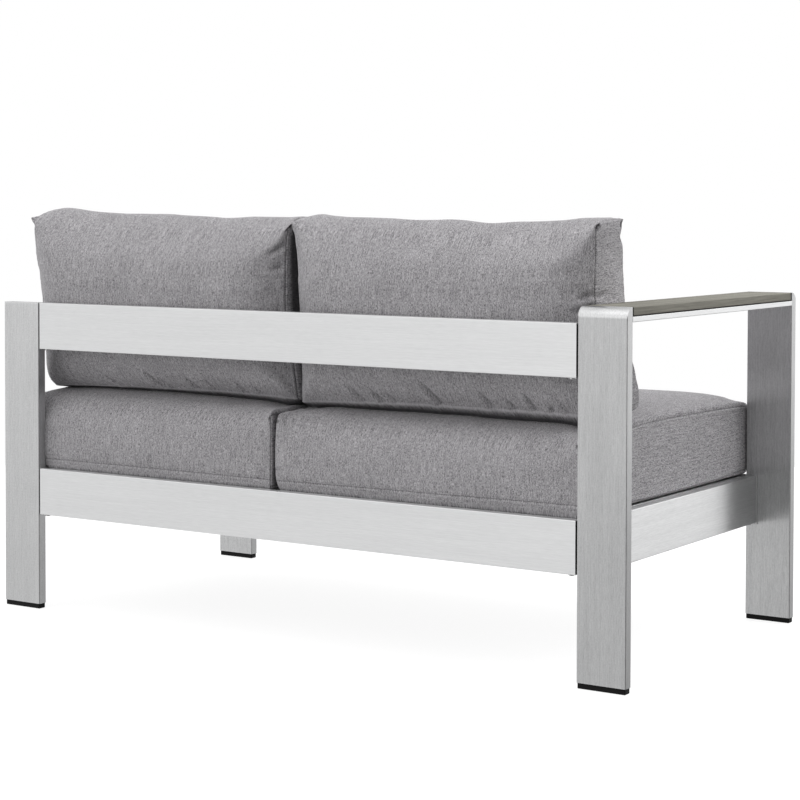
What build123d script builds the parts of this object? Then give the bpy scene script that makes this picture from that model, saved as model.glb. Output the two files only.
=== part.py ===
from build123d import *
import os
from math import sin, cos, radians

# One-arm outdoor loveseat: brushed aluminium frame, grey plank on the armrest,
# two seat cushions and two back cushions.
# Frame: millimetres, +Z up, origin on the floor under the centre of the frame.
# The sitter faces -Y. The armrest is at -X, the open end at +X.

# ---------------------------------------------------------------- driving sizes
WIDTH = 1404.0            # overall, along X
DEPTH = 722.4             # overall, along Y
ARM_H = 645.0             # top of the armrest
TUBE_W = 92.5             # wide side of the flat rectangular tube
TUBE_T = 19.5             # thin side of the same tube
WALL = 2.0                # tube wall
EDGE_R = 1.5              # outer corner radius of the tube
ARM_R = 19.0              # rounded top corner of the arm loop

TOP_RAIL_Z0 = 523.6       # underside of the back top rail
SEAT_RAIL_Z0 = 191.2      # underside of the lower rails
SEAT_RAIL_Z1 = SEAT_RAIL_Z0 + TUBE_W
TOP_RAIL_Z1 = TOP_RAIL_Z0 + TUBE_W
RAIL_GAP = 3.0            # shadow gap between a rail's end and the post
SIDE_RAIL_INSET = 71.1    # side rail's outer face, in from the leg's outer edge

FOOT_H = 10.1             # visible height of the plastic foot cap
FOOT_INSET = 1.2          # foot cap is this much smaller than the leg all round
FOOT_PLUG = 22.0          # depth of the plug inside the leg
CAP_T = 2.0               # thin cap on an open post

BOARD_T = 16.0            # armrest board
BAR_T = 9.4               # crossbar under the board
BOARD_SIDE_GAP = 0.8      # board's sides, in from the crossbar's sides
BOARD_END_GAP = 2.5
BOARD_GROOVE = 1.4        # shadow groove along the board's lower edges, height and depth
BOARD_GROOVE_IN = 3.0

SLAT_W = 60.0             # seat deck slats
SLAT_T = 15.0
SLAT_N = 10
SLAT_DROP = 3.0           # slat tops below the rail tops
LEDGER = 22.0             # ledger angle's legs
LEDGER_T = 2.0

SEAT_W = 638.0            # seat cushions
SEAT_Y0 = -361.0
SEAT_Y1 = 341.0
SEAT_Z0 = SEAT_RAIL_Z1 + 0.4
SEAT_Z1 = 440.0
SEAT_X_RIGHT = -603.0     # side of the cushion beside the armrest
SEAT_PITCH = 644.0        # from one cushion to the next
SEAT_R = 24.0

BACK_W = 636.0            # back cushions
BACK_T = 196.0
BACK_H = 352.0
BACK_LEAN = 5.0           # degrees from upright
BACK_X_RIGHT = -604.0
BACK_PITCH = 646.0
BACK_R = 46.0
COVER_T = 2.0             # cover's thickness with its lining
COVER_GAP = 0.3           # cover to filling

HX = WIDTH / 2
HY = DEPTH / 2
XI = HX - TUBE_W          # |x| of the legs' inner edges
YI = HY - TUBE_T          # |y| of the legs' inner faces

os.makedirs("parts", exist_ok=True)
made = {}


def save(name, shape):
    made[name] = shape
    export_step(shape, "parts/" + name + ".step")


def block(x0, x1, y0, y1, z0, z1):
    """A box from its lowest to its highest corner."""
    return Pos((x0 + x1) / 2, (y0 + y1) / 2, (z0 + z1) / 2) * Box(x1 - x0, y1 - y0, z1 - z0)


def upright_tube(x0, x1, y0, y1, z0, z1, open_top=True):
    """A leg: rectangular tube standing on end, its long edges rounded."""
    outer = block(x0, x1, y0, y1, z0, z1)
    outer = fillet(outer.edges().filter_by(Axis.Z), EDGE_R)
    top = z1 + 1 if open_top else z1 - WALL
    return outer - block(x0 + WALL, x1 - WALL, y0 + WALL, y1 - WALL, z0 - 1, top)


def rail_x(x0, x1, y0, y1, z0, z1):
    """A rail along X, open at both ends."""
    outer = block(x0, x1, y0, y1, z0, z1)
    outer = fillet(outer.edges().filter_by(Axis.X), EDGE_R)
    return outer - block(x0 - 1, x1 + 1, y0 + WALL, y1 - WALL, z0 + WALL, z1 - WALL)


def rail_y(x0, x1, y0, y1, z0, z1):
    """A rail along Y, open at both ends."""
    outer = block(x0, x1, y0, y1, z0, z1)
    outer = fillet(outer.edges().filter_by(Axis.Y), EDGE_R)
    return outer - block(x0 + WALL, x1 - WALL, y0 - 1, y1 + 1, z0 + WALL, z1 - WALL)


def arm_leg(front):
    """A leg of the arm loop: its outer top corner is a large round, its top is closed."""
    s = -1 if front else 1
    ya, yb = sorted((s * YI, s * HY))
    leg = block(-HX, -XI, ya, yb, FOOT_H, ARM_H)
    leg = fillet(leg.edges().filter_by(Axis.Z), EDGE_R)
    # the large round is cut with a profile, so that it runs over the small edge radii
    with BuildSketch(Plane.YZ) as sk:
        with BuildLine():
            y1 = s * HY
            y0 = s * (HY - ARM_R)
            Line((y0, ARM_H), (y1 + s * 2, ARM_H))
            Line((y1 + s * 2, ARM_H), (y1 + s * 2, ARM_H - ARM_R))
            Line((y1 + s * 2, ARM_H - ARM_R), (y1, ARM_H - ARM_R))
            c = ARM_R * (1 - cos(radians(45)))
            ThreePointArc((y1, ARM_H - ARM_R), (y1 - s * c, ARM_H - c), (y0, ARM_H))
        make_face()
    cutter = Pos(-HX - 1, 0, 0) * extrude(sk.sketch, TUBE_W + 2, dir=(1, 0, 0))
    leg = leg - cutter
    hollow = block(-HX + WALL, -XI - WALL, ya + WALL, yb - WALL, FOOT_H - 1, ARM_H - ARM_R)
    return leg - hollow


def foot(x0, x1, y0, y1):
    """Plastic foot cap: a pad with rounded lower edges and a plug up into the leg."""
    i = FOOT_INSET
    pad = block(x0 + i, x1 - i, y0 + i, y1 - i, 0, FOOT_H)
    pad = fillet(pad.edges().filter_by(Axis.Z), 1.5)
    pad = fillet(pad.faces().sort_by(Axis.Z)[0].edges(), 1.8)
    w = WALL + 0.2
    plug = block(x0 + w, x1 - w, y0 + w, y1 - w, FOOT_H - 0.5, FOOT_H + FOOT_PLUG)
    relief = block(x0 + w + 2.5, x1 - w - 2.5, y0 + w + 2.5, y1 - w - 2.5, FOOT_H + 2, FOOT_H + FOOT_PLUG + 1)
    return pad + (plug - relief)


def post_cap(x0, x1, y0, y1, z):
    """Thin lid on an open post, with a short plug below it."""
    lid = block(x0, x1, y0, y1, z, z + CAP_T)
    lid = fillet(lid.edges().filter_by(Axis.Z), EDGE_R)
    w = WALL + 0.1
    plug = block(x0 + w, x1 - w, y0 + w, y1 - w, z - 8, z + 0.5)
    return lid + plug


def screw(head_d, head_h, shank_d, length):
    """Button-head screw along -Z: head's underside at z = 0, shank going up."""
    head = Pos(0, 0, -head_h / 2) * Cylinder(head_d / 2, head_h)
    head = fillet(head.faces().sort_by(Axis.Z)[0].edges(), head_h * 0.45)
    socket = Pos(0, 0, -head_h + 0.6) * extrude(RegularPolygon(1.7, 6), 1.6, both=True)
    shank = Pos(0, 0, length / 2) * Cylinder(shank_d / 2, length)
    return head + shank - socket


# ---------------------------------------------------------------- arm loop
save("arm_rear_leg", arm_leg(front=False))
save("arm_front_leg", arm_leg(front=True))

bar_z1 = ARM_H - BOARD_T
bar_z0 = bar_z1 - BAR_T
bar = block(-HX, -XI, -YI, YI, bar_z0, bar_z1)
bar = fillet(bar.edges().filter_by(Axis.Y), 1.2)
bar -= block(-HX + WALL, -XI - WALL, -YI - 1, YI + 1, bar_z0 + WALL, bar_z1 - WALL)
board_screw_y = (-290.0, -100.0, 100.0, 290.0)
board_screw_x = -HX + TUBE_W / 2
for y in board_screw_y:
    bar -= Pos(board_screw_x, y, (bar_z0 + bar_z1) / 2) * Cylinder(2.4, BAR_T + 4)
save("arm_crossbar", bar)

board = block(-HX + BOARD_SIDE_GAP, -XI - BOARD_SIDE_GAP, -YI + BOARD_END_GAP, YI - BOARD_END_GAP,
              bar_z1 + 0.2, ARM_H)
board = fillet(board.edges().filter_by(Axis.Y), 1.6)
for xa, xb in ((-HX, -HX + BOARD_SIDE_GAP + BOARD_GROOVE_IN), (-XI - BOARD_SIDE_GAP - BOARD_GROOVE_IN, -XI)):
    board -= block(xa, xb, -YI, YI, bar_z1, bar_z1 + 0.2 + BOARD_GROOVE)
for y in board_screw_y:
    board -= Pos(board_screw_x, y, bar_z1 + 5) * Cylinder(2.0, 10)
save("armrest_board", board)

board_screws = []
for y in board_screw_y:
    s = screw(8.4, 2.2, 3.9, 18.0)
    board_screws.append(Pos(board_screw_x, y, bar_z0) * s)
save("armrest_board_screws", Compound(children=board_screws))

# ---------------------------------------------------------------- open end
save("left_rear_post", upright_tube(XI, HX, YI, HY, FOOT_H, TOP_RAIL_Z1 - CAP_T))
save("left_front_leg", upright_tube(XI, HX, -HY, -YI, FOOT_H, SEAT_RAIL_Z1 - CAP_T))
save("left_rear_post_cap", post_cap(XI, HX, YI, HY, TOP_RAIL_Z1 - CAP_T))
save("left_front_leg_cap", post_cap(XI, HX, -HY, -YI, SEAT_RAIL_Z1 - CAP_T))

# ---------------------------------------------------------------- feet
save("foot_arm_rear", foot(-HX, -XI, YI, HY))
save("foot_arm_front", foot(-HX, -XI, -HY, -YI))
save("foot_left_rear", foot(XI, HX, YI, HY))
save("foot_left_front", foot(XI, HX, -HY, -YI))

# ---------------------------------------------------------------- rails
rx = XI - RAIL_GAP
ry = YI - RAIL_GAP
side_x1 = -HX + SIDE_RAIL_INSET
side_x0 = side_x1 + TUBE_T
SCREW_IN = 12.0           # screw, in from the rail's end
SCREW_D = 6.0


def drill(rail, places, z0):
    for x, y in places:
        rail -= Pos(x, y, z0 + 2) * Cylinder(SCREW_D / 2 + 0.3, 12)
    return rail


y_back = (YI + HY) / 2
x_side = (side_x0 + side_x1) / 2
back_places = [(-(rx - SCREW_IN), y_back), (rx - SCREW_IN, y_back)]
front_places = [(x, -y) for x, y in back_places]
right_places = [(x_side, -(ry - SCREW_IN)), (x_side, ry - SCREW_IN)]
left_places = [(-x, y) for x, y in right_places]

save("back_top_rail", drill(rail_x(-rx, rx, YI, HY, TOP_RAIL_Z0, TOP_RAIL_Z1), back_places, TOP_RAIL_Z0))
save("back_bottom_rail", drill(rail_x(-rx, rx, YI, HY, SEAT_RAIL_Z0, SEAT_RAIL_Z1), back_places, SEAT_RAIL_Z0))
save("front_rail", drill(rail_x(-rx, rx, -HY, -YI, SEAT_RAIL_Z0, SEAT_RAIL_Z1), front_places, SEAT_RAIL_Z0))
save("right_side_rail", drill(rail_y(side_x1, side_x0, -ry, ry, SEAT_RAIL_Z0, SEAT_RAIL_Z1), right_places, SEAT_RAIL_Z0))
save("left_side_rail", drill(rail_y(-side_x0, -side_x1, -ry, ry, SEAT_RAIL_Z0, SEAT_RAIL_Z1), left_places, SEAT_RAIL_Z0))

# ---------------------------------------------------------------- rail spigots
# Each is a flange against the post and a tongue pushed into the rail's open end.
TONGUE = 40.0
FLANGE_T = RAIL_GAP - 0.2
TONGUE_PLAY = 0.25
FLANGE_IN = 2.2           # back and front rails: flange smaller than the rail
FLANGE_OUT = 3.0          # side rails: flange stands proud of the rail


def tongue_hole(body, x, y, z0):
    return body - Pos(x, y, z0 + 6) * Cylinder(SCREW_D / 2 + 0.15, 24)


def spigot_x(s, y0, y1, z0):
    """At the rail's end nearer s * X, for a rail along X."""
    z1 = z0 + TUBE_W
    xa, xb = sorted((s * XI, s * (XI - FLANGE_T)))
    flange = block(xa, xb, y0 + FLANGE_IN, y1 - FLANGE_IN, z0 + FLANGE_IN, z1 - FLANGE_IN)
    w = WALL + TONGUE_PLAY
    xa, xb = sorted((s * (XI - FLANGE_T + 0.5), s * (XI - FLANGE_T - TONGUE)))
    tongue = block(xa, xb, y0 + w, y1 - w, z0 + w, z1 - w)
    xa, xb = sorted((s * (XI - FLANGE_T - 3), s * (XI - FLANGE_T - TONGUE - 2)))
    tongue -= block(xa, xb, y0 + w + 2.5, y1 - w - 2.5, z0 + w + 6, z1 - w - 3)
    return tongue_hole(flange + tongue, s * (rx - SCREW_IN), (y0 + y1) / 2, z0)


def spigot_y(s, x0, x1, z0, over=0.0):
    """At the rail's end nearer s * Y, for a rail along Y. over: how far the flange stands above the rail."""
    z1 = z0 + TUBE_W
    ya, yb = sorted((s * YI, s * (YI - FLANGE_T)))
    inner = min(abs(x0), abs(x1))
    flange = block(x0 - (FLANGE_OUT if abs(x0) > inner else 0), x1 + (FLANGE_OUT if abs(x1) > inner else 0),
                   ya, yb, z0 - FLANGE_OUT, z1 + over)
    flange = fillet(flange.edges().filter_by(Axis.Y), 1.2)
    w = WALL + TONGUE_PLAY
    ya, yb = sorted((s * (YI - FLANGE_T + 0.5), s * (YI - FLANGE_T - TONGUE)))
    tongue = block(x0 + w, x1 - w, ya, yb, z0 + w, z1 - w)
    ya, yb = sorted((s * (YI - FLANGE_T - 3), s * (YI - FLANGE_T - TONGUE - 2)))
    tongue -= block(x0 + w + 2.5, x1 - w - 2.5, ya, yb, z0 + w + 6, z1 - w - 3)
    return tongue_hole(flange + tongue, (x0 + x1) / 2, s * (ry - SCREW_IN), z0)


save("back_top_rail_spigot_right", spigot_x(-1, YI, HY, TOP_RAIL_Z0))
save("back_top_rail_spigot_left", spigot_x(1, YI, HY, TOP_RAIL_Z0))
save("back_bottom_rail_spigot_right", spigot_x(-1, YI, HY, SEAT_RAIL_Z0))
save("back_bottom_rail_spigot_left", spigot_x(1, YI, HY, SEAT_RAIL_Z0))
save("front_rail_spigot_right", spigot_x(-1, -HY, -YI, SEAT_RAIL_Z0))
save("front_rail_spigot_left", spigot_x(1, -HY, -YI, SEAT_RAIL_Z0))
save("right_side_rail_spigot_rear", spigot_y(1, side_x1, side_x0, SEAT_RAIL_Z0, FLANGE_OUT))
save("right_side_rail_spigot_front", spigot_y(-1, side_x1, side_x0, SEAT_RAIL_Z0, FLANGE_OUT))
save("left_side_rail_spigot_rear", spigot_y(1, -side_x0, -side_x1, SEAT_RAIL_Z0))
save("left_side_rail_spigot_front", spigot_y(-1, -side_x0, -side_x1, SEAT_RAIL_Z0))

rail_screws = []
for places, z0 in ((back_places, TOP_RAIL_Z0), (back_places, SEAT_RAIL_Z0), (front_places, SEAT_RAIL_Z0),
                   (right_places, SEAT_RAIL_Z0), (left_places, SEAT_RAIL_Z0)):
    for x, y in places:
        rail_screws.append(Pos(x, y, z0) * screw(10.5, 3.0, SCREW_D, 12.0))
save("rail_screws", Compound(children=rail_screws))

# ---------------------------------------------------------------- seat deck
ledger_z1 = SEAT_RAIL_Z1 - SLAT_DROP - SLAT_T
ledger_x = side_x0 + 4.0


def ledger(s):
    """Angle on the inner face of the front (s = -1) or back (s = 1) rail."""
    ya, yb = sorted((s * YI, s * (YI - LEDGER)))
    shelf = block(ledger_x, -ledger_x, ya, yb, ledger_z1 - LEDGER_T, ledger_z1)
    ya, yb = sorted((s * YI, s * (YI - LEDGER_T)))
    web = block(ledger_x, -ledger_x, ya, yb, ledger_z1 - LEDGER, ledger_z1)
    return shelf + web


slat_span = 2 * (abs(side_x0) - 12.0)
slat_pitch = (slat_span - SLAT_W) / (SLAT_N - 1)
slat_xs = [-slat_span / 2 + SLAT_W / 2 + i * slat_pitch for i in range(SLAT_N)]
SLAT_SCREW_IN = 13.0
front_ledger, back_ledger = ledger(-1), ledger(1)
slat_screws = []
for i, x in enumerate(slat_xs):
    slat = block(x - SLAT_W / 2, x + SLAT_W / 2, -YI + 0.8, YI - 0.8, ledger_z1, ledger_z1 + SLAT_T)
    slat = fillet(slat.edges().filter_by(Axis.Y), 1.2)
    slat -= block(x - SLAT_W / 2 + 1.5, x + SLAT_W / 2 - 1.5, -YI, YI, ledger_z1 + 1.5, ledger_z1 + SLAT_T - 1.5)
    for s in (-1, 1):
        y = s * (YI - SLAT_SCREW_IN)
        hole = Pos(x, y, ledger_z1) * Cylinder(2.2, 8)
        slat -= hole
        if s < 0:
            front_ledger -= hole
        else:
            back_ledger -= hole
        slat_screws.append(Pos(x, y, ledger_z1 - LEDGER_T) * screw(8.0, 2.2, 4.0, 9.0))
    save("seat_slat_%02d" % (i + 1), slat)
save("front_ledger_angle", front_ledger)
save("back_ledger_angle", back_ledger)
save("seat_slat_screws", Compound(children=slat_screws))


# ---------------------------------------------------------------- cushions
def soft_pair(size, r, place):
    """A cushion's sewn cover, as a thin closed shell, and the filling in it."""
    w, d, h = size
    outer = fillet(Box(w, d, h).edges(), r)
    t = COVER_T
    hollow = fillet(Box(w - 2 * t, d - 2 * t, h - 2 * t).edges(), r - t)
    t = COVER_T + COVER_GAP
    core = fillet(Box(w - 2 * t, d - 2 * t, h - 2 * t).edges(), r - t)
    return place * (outer - hollow), place * core


seat_size = (SEAT_W, SEAT_Y1 - SEAT_Y0, SEAT_Z1 - SEAT_Z0)
for i, side in enumerate(("right", "left")):
    x = SEAT_X_RIGHT + SEAT_W / 2 + i * SEAT_PITCH
    cover, core = soft_pair(seat_size, SEAT_R, Pos(x, (SEAT_Y0 + SEAT_Y1) / 2, (SEAT_Z0 + SEAT_Z1) / 2))
    save("seat_cushion_%s_cover" % side, cover)
    save("seat_cushion_%s_foam" % side, core)

# A back cushion stands on the seat cushion and leans on the top rail's upper inner edge.
lean = radians(BACK_LEAN)
edge_y, edge_z = YI - 0.5, TOP_RAIL_Z1
# centre from: its back face passes the rail's edge, its lowest point is just over the seat cushion
low = SEAT_Z1 + 0.5
reach = (BACK_H / 2 - BACK_R) * cos(lean) + (BACK_T / 2 - BACK_R) * sin(lean) + BACK_R
cz = low + reach
# back face: (y - cy) * cos(lean) - (z - cz) * sin(lean) = BACK_T / 2
cy = edge_y - (BACK_T / 2 + (edge_z - cz) * sin(lean)) / cos(lean)
for i, side in enumerate(("right", "left")):
    x = BACK_X_RIGHT + BACK_W / 2 + i * BACK_PITCH
    place = Pos(x, cy, cz) * Rot(-BACK_LEAN, 0, 0)
    cover, core = soft_pair((BACK_W, BACK_T, BACK_H), BACK_R, place)
    save("back_cushion_%s_cover" % side, cover)
    save("back_cushion_%s_filling" % side, core)

if __name__ == "__main__":
    print(len(made), "nodes")
    for n in ("back_cushion_right_cover", "seat_cushion_left_cover", "armrest_board"):
        b = made[n].bounding_box()
        print(n, [round(v, 1) for v in (b.min.X, b.min.Y, b.min.Z, b.max.X, b.max.Y, b.max.Z)])
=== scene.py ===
import math

import bpy
import numpy as np
from mathutils import Matrix, Vector
from mathutils.bvhtree import BVHTree

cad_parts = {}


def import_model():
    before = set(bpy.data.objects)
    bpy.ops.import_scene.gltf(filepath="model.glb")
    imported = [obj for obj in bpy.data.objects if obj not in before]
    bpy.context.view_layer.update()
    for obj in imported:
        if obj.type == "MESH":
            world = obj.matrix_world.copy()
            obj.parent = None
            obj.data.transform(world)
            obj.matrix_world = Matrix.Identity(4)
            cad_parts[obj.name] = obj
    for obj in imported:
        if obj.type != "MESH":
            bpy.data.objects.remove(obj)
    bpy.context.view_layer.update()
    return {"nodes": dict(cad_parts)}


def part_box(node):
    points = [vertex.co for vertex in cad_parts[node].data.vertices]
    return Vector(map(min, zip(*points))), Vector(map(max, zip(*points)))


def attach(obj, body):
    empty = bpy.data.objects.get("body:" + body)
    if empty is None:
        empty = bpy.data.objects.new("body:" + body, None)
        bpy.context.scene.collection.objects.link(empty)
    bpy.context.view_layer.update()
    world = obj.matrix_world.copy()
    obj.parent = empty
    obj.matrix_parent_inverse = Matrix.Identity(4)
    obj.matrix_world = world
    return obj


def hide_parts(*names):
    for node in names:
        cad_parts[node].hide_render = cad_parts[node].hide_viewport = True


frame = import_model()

scene = bpy.context.scene
scene.view_settings.view_transform = "Standard"
scene.view_settings.look = "None"

# ---------------------------------------------------------------- camera
YAW, PITCH, ROLL = math.radians(33.0984), math.radians(1.8984), math.radians(-0.1300)
EYE = Vector((-2.2248785, 3.3853052, 0.8144258))


def make_camera():
    fwd = Vector((math.sin(YAW) * math.cos(PITCH), -math.cos(YAW) * math.cos(PITCH), -math.sin(PITCH)))
    right = Vector((-math.cos(YAW), -math.sin(YAW), 0.0))
    down = fwd.cross(right)
    right2 = right * math.cos(ROLL) + down * math.sin(ROLL)
    down2 = -right * math.sin(ROLL) + down * math.cos(ROLL)
    m = Matrix((right2, -down2, -fwd)).transposed().to_4x4()
    m.translation = EYE
    data = bpy.data.cameras.new("camera")
    data.sensor_fit = "HORIZONTAL"
    data.sensor_width = 36.0
    data.lens = 91.949
    data.shift_x = 0.0
    data.shift_y = -0.16
    data.clip_start, data.clip_end = 0.05, 200.0
    cam = bpy.data.objects.new("camera", data)
    cam.matrix_world = m
    scene.collection.objects.link(cam)
    scene.camera = cam
    return cam


camera = make_camera()


# ---------------------------------------------------------------- node helpers
class Tree:
    """A few short calls for building a node tree."""

    def __init__(self, tree):
        self.t = tree
        tree.nodes.clear()

    def node(self, kind, **props):
        n = self.t.nodes.new(kind)
        for k, v in props.items():
            setattr(n, k, v)
        return n

    def put(self, socket, value):
        if isinstance(value, bpy.types.NodeSocket):
            self.t.links.new(value, socket)
        else:
            socket.default_value = value

    def math(self, op, a, b=0.0, c=0.0, clamp=False):
        n = self.node("ShaderNodeMath", operation=op, use_clamp=clamp)
        for s, v in zip(n.inputs, (a, b, c)):
            self.put(s, v)
        return n.outputs[0]

    def vmath(self, op, a, b=(0, 0, 0)):
        n = self.node("ShaderNodeVectorMath", operation=op)
        self.put(n.inputs[0], a)
        self.put(n.inputs[1], b)
        return n.outputs["Value"] if op in ("DOT_PRODUCT", "LENGTH", "DISTANCE") else n.outputs[0]

    def noise(self, vec, scale=1.0, detail=2.0, rough=0.5, dist=0.0, dims="3D"):
        n = self.node("ShaderNodeTexNoise", noise_dimensions=dims)
        self.put(n.inputs["Vector"], vec)
        self.put(n.inputs["Scale"], scale)
        self.put(n.inputs["Detail"], detail)
        self.put(n.inputs["Roughness"], rough)
        self.put(n.inputs["Distortion"], dist)
        return n.outputs[0]

    def mapped(self, value, a, b, c, d, smooth=False, clamp=True):
        n = self.node("ShaderNodeMapRange", interpolation_type="SMOOTHSTEP" if smooth else "LINEAR")
        if not smooth:
            n.clamp = clamp
        for s, v in zip(n.inputs[:5], (value, a, b, c, d)):
            self.put(s, v)
        return n.outputs[0]

    def mix(self, f, a, b, kind="RGBA", blend="MIX"):
        n = self.node("ShaderNodeMix", data_type=kind)
        if kind == "RGBA":
            n.blend_type = blend
            i, o = (6, 7), 2
        else:
            i, o = (2, 3), 0
        self.put(n.inputs[0], f)
        self.put(n.inputs[i[0]], a)
        self.put(n.inputs[i[1]], b)
        return n.outputs[o]

    def bump(self, height, strength, distance):
        n = self.node("ShaderNodeBump")
        self.put(n.inputs["Strength"], strength)
        self.put(n.inputs["Distance"], distance)
        self.put(n.inputs["Height"], height)
        return n.outputs[0]


def grey(v, tint=(1.0, 1.0, 1.0)):
    return (v * tint[0], v * tint[1], v * tint[2], 1.0)


def new_material(name):
    m = bpy.data.materials.new(name)
    m.use_nodes = True
    t = Tree(m.node_tree)
    out = t.node("ShaderNodeOutputMaterial")
    p = t.node("ShaderNodeBsdfPrincipled")
    t.t.links.new(p.outputs[0], out.inputs[0])
    return m, t, p


# ---------------------------------------------------------------- metal, board, plastic
def brushed(name, axis, low, high, rough, aniso, line=900.0, along=46.0, fleck=0.0):
    """Brushed metal with its fine scratches along one axis of the frame."""
    m, t, p = new_material(name)
    at = t.node("ShaderNodeTexCoord").outputs["Object"]

    def streaks(across, along, detail, rough):
        k = [across] * 3
        k[axis] = along
        return t.noise(t.vmath("MULTIPLY", at, tuple(k)), detail=detail, rough=rough)

    fine = streaks(line, along, 2.0, 0.6)
    long = streaks(line * 0.55, along * 0.18, 2.0, 0.6)
    wide = streaks(60.0, 2.5, 2.0, 0.5)
    spot = streaks(line * 0.6, line * 0.35, 1.0, 0.6)
    cloud = t.noise(at, scale=9.0, detail=3.0, rough=0.6)
    f = t.math("ADD", t.math("MULTIPLY", fine, 0.50 - fleck / 2), t.math("MULTIPLY", long, 0.35 - fleck / 2))
    f = t.math("ADD", f, t.math("MULTIPLY", wide, 0.15 - fleck * 0.2))
    f = t.math("ADD", f, fleck * 0.1)
    f = t.math("ADD", f, t.math("MULTIPLY", spot, fleck))
    f = t.mapped(f, 0.34, 0.66, 0.0, 1.0)
    t.put(p.inputs["Base Color"], t.mix(f, grey(low, (0.995, 1.0, 1.005)), grey(high, (0.995, 1.0, 1.005))))
    r = t.math("ADD", t.math("MULTIPLY", t.math("SUBTRACT", fine, 0.5), 0.16),
               t.math("MULTIPLY", t.math("SUBTRACT", cloud, 0.5), 0.10))
    t.put(p.inputs["Roughness"], t.math("ADD", r, rough, clamp=True))
    p.inputs["Metallic"].default_value = 1.0
    p.inputs["Anisotropic"].default_value = aniso
    tan = t.node("ShaderNodeTangent", direction_type="RADIAL", axis="XYZ"[axis])
    t.put(p.inputs["Tangent"], tan.outputs[0])
    t.put(p.inputs["Normal"], t.bump(fine, 0.22, 0.00025))
    return m


def plank(name, lo, hi):
    """Grey moulded plank: long soft grain along Y, a little warmer on its streaks. Painted shade darkens the joints at
    its lower edge and its ends; lo and hi are its box.
    """
    m, t, p = new_material(name)
    at = t.node("ShaderNodeTexCoord").outputs["Object"]
    warp = t.noise(t.vmath("MULTIPLY", at, (9.0, 3.0, 9.0)), detail=2.0)
    push = t.node("ShaderNodeCombineXYZ")
    t.put(push.inputs[0], t.math("MULTIPLY", t.math("SUBTRACT", warp, 0.5), 0.010))
    t.put(push.inputs[2], t.math("MULTIPLY", t.math("SUBTRACT", warp, 0.5), 0.006))
    bent = t.vmath("ADD", at, push.outputs[0])
    grain = t.noise(t.vmath("MULTIPLY", bent, (420.0, 9.0, 420.0)), detail=4.0, rough=0.62)
    band = t.noise(t.vmath("MULTIPLY", bent, (75.0, 2.2, 75.0)), detail=2.0, rough=0.5)
    pore = t.noise(t.vmath("MULTIPLY", at, (1400.0, 160.0, 1400.0)), detail=2.0)
    f = t.math("ADD", t.math("MULTIPLY", grain, 0.55), t.math("MULTIPLY", band, 0.45))
    f = t.mapped(f, 0.33, 0.67, 0.0, 1.0)
    dark, light = (0.176, 0.169, 0.146, 1.0), (0.335, 0.324, 0.282, 1.0)
    col = t.mix(f, dark, light)
    col = t.mix(t.mapped(pore, 0.60, 0.72, 0.0, 0.35), col, (0.085, 0.082, 0.072, 1.0))
    place = t.node("ShaderNodeSeparateXYZ")
    t.put(place.inputs[0], at)
    # painted shade: near-black along the lower edge and at both ends, where the joints lie in shadow
    under = t.mapped(place.outputs[2], lo[2] + 0.0012, lo[2] + 0.0030, 0.95, 0.0, smooth=True)
    rear = t.mapped(place.outputs[1], hi[1] - 0.0028, hi[1] - 0.0012, 0.0, 0.95, smooth=True)
    fore = t.mapped(place.outputs[1], lo[1] + 0.0012, lo[1] + 0.0028, 0.95, 0.0, smooth=True)
    joint_shade = t.math("MAXIMUM", under, t.math("MAXIMUM", rear, fore))
    col = t.mix(joint_shade, col, (0.012, 0.0115, 0.011, 1.0))
    t.put(p.inputs["Base Color"], col)
    t.put(p.inputs["Roughness"], t.mapped(grain, 0.3, 0.7, 0.72, 0.86))
    p.inputs["Specular IOR Level"].default_value = 0.10
    h = t.math("ADD", t.math("MULTIPLY", grain, 0.8), t.math("MULTIPLY", pore, -0.4))
    t.put(p.inputs["Normal"], t.bump(h, 0.35, 0.0006))
    return m


def plastic(name):
    m, t, p = new_material(name)
    at = t.node("ShaderNodeTexCoord").outputs["Object"]
    skin = t.noise(at, scale=2600.0, detail=2.0)
    worn = t.noise(at, scale=60.0, detail=4.0, rough=0.6)
    f = t.mapped(worn, 0.45, 0.75, 0.0, 1.0)
    t.put(p.inputs["Base Color"], t.mix(f, grey(0.003), grey(0.008)))
    t.put(p.inputs["Roughness"], t.mapped(worn, 0.3, 0.7, 0.50, 0.64))
    p.inputs["Specular IOR Level"].default_value = 0.16
    t.put(p.inputs["Normal"], t.bump(skin, 0.25, 0.0002))
    return m


def screws(name):
    m, t, p = new_material(name)
    at = t.node("ShaderNodeTexCoord").outputs["Object"]
    fine = t.noise(at, scale=1500.0, detail=2.0)
    t.put(p.inputs["Base Color"], t.mix(fine, grey(0.52), grey(0.70)))
    t.put(p.inputs["Roughness"], t.mapped(fine, 0.3, 0.7, 0.20, 0.34))
    p.inputs["Metallic"].default_value = 1.0
    t.put(p.inputs["Normal"], t.bump(fine, 0.2, 0.0001))
    return m


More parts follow.
